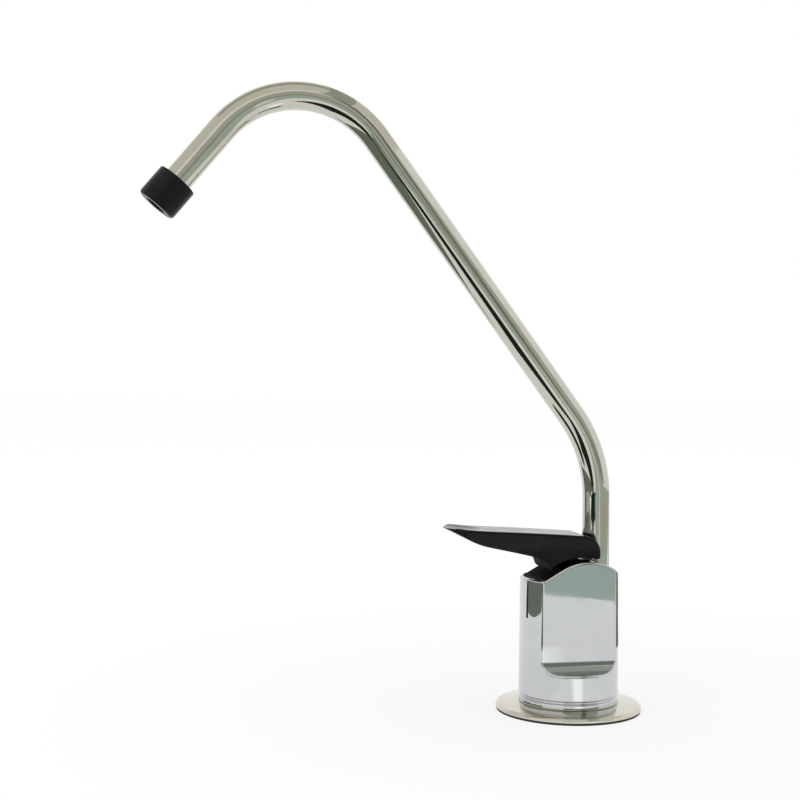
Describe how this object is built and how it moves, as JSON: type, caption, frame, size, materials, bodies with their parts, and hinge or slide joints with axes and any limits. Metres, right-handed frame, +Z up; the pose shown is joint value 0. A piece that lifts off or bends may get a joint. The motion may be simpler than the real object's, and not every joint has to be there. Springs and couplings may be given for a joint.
{
  "type": "drinking water filter tap",
  "caption": "Deck-mounted drinking water tap with a bent swivelling spout on a round post, a black flip-up lever and a round cover plate.",
  "frame": {"origin": "on the worktop's upper face, at the body's axis, under the gasket", "axes": "+Z up along the body, -Y towards the lever's tip and the spout's outlet, +X to the right seen from the front"},
  "size_m": [0.0508, 0.1741, 0.2679],
  "materials": {
    "chrome": "polished",
    "black_lever": "satin",
    "black_plastic": "satin",
    "rubber": "matte",
    "brass": "machined",
    "steel": "bright",
    "white_plastic": "satin"
  },
  "bodies": {
    "faucet": {"tap_body": "chrome", "base_plate": "chrome", "base_gasket": "rubber", "threaded_shank": "brass", "shank_o_ring": "rubber", "deck_washer": "black_plastic", "lock_washer": "steel", "locknut": "brass", "compression_nut": "brass", "ferrule": "brass", "lever_saddle": "black_plastic", "stem_bonnet": "brass", "bonnet_o_ring": "rubber", "stem_o_ring": "rubber", "spring_washer": "steel", "spout_bush": "white_plastic"},
    "stem": {"valve_stem": "brass", "seat_washer": "rubber", "seat_screw": "steel", "return_spring": "steel"},
    "lever": {"lever": "black_lever", "lever_pin": "steel"},
    "spout": {"spout_tube": "chrome", "spout_end_fitting": "brass", "spout_o_rings": "rubber", "spout_tip": "black_plastic"}
  },
  "joints": [
    {"name": "stem_lift", "type": "slide", "parent": "faucet", "child": "stem", "axis": [0, 0, 1], "range_m": [0, 0.00337], "deforming": ["return_spring"]},
    {"name": "lever_lift", "type": "hinge", "parent": "stem", "child": "lever", "pos_m": [0, -0.0025, 0.0573], "axis": [-1, 0, 0], "range_deg": [0, 20]},
    {"name": "spout_swivel", "type": "hinge", "parent": "faucet", "child": "spout", "pos_m": [0, 0.00973, 0.03], "axis": [0, 0, 1], "continuous": true}
  ],
  "couplings": [
    {"joint": "stem_lift", "follows": "lever_lift", "m_per_rad": 0.0095}
  ]
}
